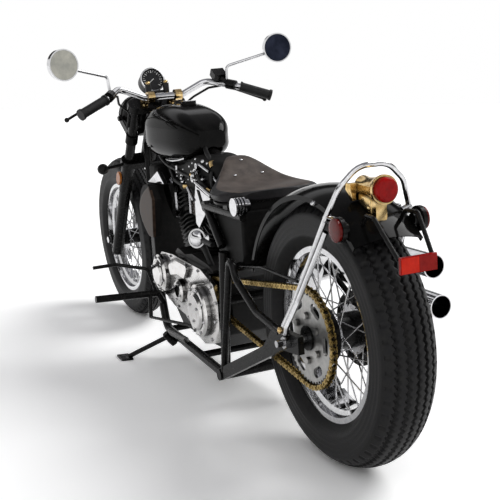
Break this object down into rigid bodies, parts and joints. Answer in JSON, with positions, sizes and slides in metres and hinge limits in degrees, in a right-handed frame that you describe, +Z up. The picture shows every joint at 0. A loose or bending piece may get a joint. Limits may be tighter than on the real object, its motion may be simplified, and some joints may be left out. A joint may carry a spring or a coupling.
{
  "type": "two-wheeled motorcycle",
  "caption": "Leaning two-wheeled road machine with a V-twin engine, solo saddle, wire wheels, chain drive and a tall hoop behind the seat.",
  "frame": {"origin": "bottom centre of the bounding box, on the ground, with the vehicle leaning left on its side stand", "axes": "+X forward along the wheelbase, +Y to the rider's left, +Z up from level ground"},
  "size_m": [2.3638, 0.8542, 1.1017],
  "materials": {
    "tyre": "matte black rubber",
    "chrome": "bright chrome plate",
    "polished": "polished aluminium",
    "satin": "satin aluminium",
    "gloss_black": "gloss black paint",
    "frame_black": "semi-gloss black paint",
    "engine_black": "satin black heat paint",
    "brass": "polished brass",
    "gold_chain": "gold-coloured chain plates",
    "steel": "plain steel",
    "leather": "dark brown-black leather",
    "rubber": "black rubber",
    "red_lens": "red lens",
    "amber": "amber lens",
    "glass": "clear lens",
    "mirror": "mirror glass",
    "black_plastic": "black plastic"
  },
  "bodies": {
    "rear_wheel": {"rear_tyre": "tyre", "rear_rim": "chrome", "rear_spokes": "chrome", "rear_hub": "frame_black", "rear_sprocket": "satin"},
    "front_wheel": {"front_tyre": "tyre", "front_rim": "chrome", "front_spokes": "chrome", "front_hub": "frame_black", "front_disc": "steel"},
    "chassis": {"rear_axle": "chrome", "drive_chain": "gold_chain", "frame_spine": "frame_black", "frame_cradle_left": "frame_black", "frame_cradle_right": "frame_black", "frame_cross_tubes": "frame_black", "swingarm": "frame_black", "crankcase": "engine_black", "cylinders": "engine_black", "head_covers": "chrome", "engine_left_cover": "polished", "engine_right_cover": "polished", "air_cleaner": "chrome", "radiator": "engine_black", "radiator_covers": "gloss_black", "exhausts": "chrome", "fuel_tank": "gloss_black", "seat_pad": "leather", "seat_pan": "frame_black", "battery_box": "gloss_black", "rear_fender": "gloss_black", "sissy_bar": "chrome", "tail_lamp_bracket": "brass", "red_lenses": "red_lens", "plate_bracket": "frame_black", "rear_reflector": "red_lens", "side_lamp_bodies": "chrome", "chain_guard": "frame_black", "foot_controls": "frame_black", "chrome_caps": "chrome"},
    "side_stand": {"side_stand": "frame_black"},
    "front_end": {"fork_yokes": "frame_black", "fork_legs": "frame_black", "front_axle": "chrome", "headlamp": "gloss_black", "headlamp_lens": "glass", "handlebar": "chrome", "grips": "rubber", "risers": "brass", "hand_controls": "frame_black", "mirrors": "chrome", "mirror_glass": "mirror", "speedometer": "black_plastic", "front_signals": "frame_black", "fork_reflectors": "amber", "brake_caliper": "engine_black", "control_cables": "rubber"}
  },
  "joints": [
    {"name": "steering", "type": "hinge", "parent": "chassis", "child": "front_end", "pos_m": [0.50405, -0.01597, 0.75103], "axis": [-0.5734, 0.0571, 0.8173], "range_deg": [-31.7, 28.3]},
    {"name": "front_wheel_spin", "type": "hinge", "parent": "front_end", "child": "front_wheel", "pos_m": [0.86201, -0.04483, 0.31899], "axis": [-0.0246, 0.9959, -0.0869], "continuous": true},
    {"name": "rear_wheel_spin", "type": "hinge", "parent": "chassis", "child": "rear_wheel", "pos_m": [-0.83797, -0.04527, 0.3324], "axis": [0, 0.9976, -0.0698], "continuous": true},
    {"name": "side_stand_fold", "type": "hinge", "parent": "chassis", "child": "side_stand", "pos_m": [0.09198, 0.07898, 0.10199], "axis": [0.0001, 0.6947, 0.7193], "range_deg": [0, 130]}
  ]
}
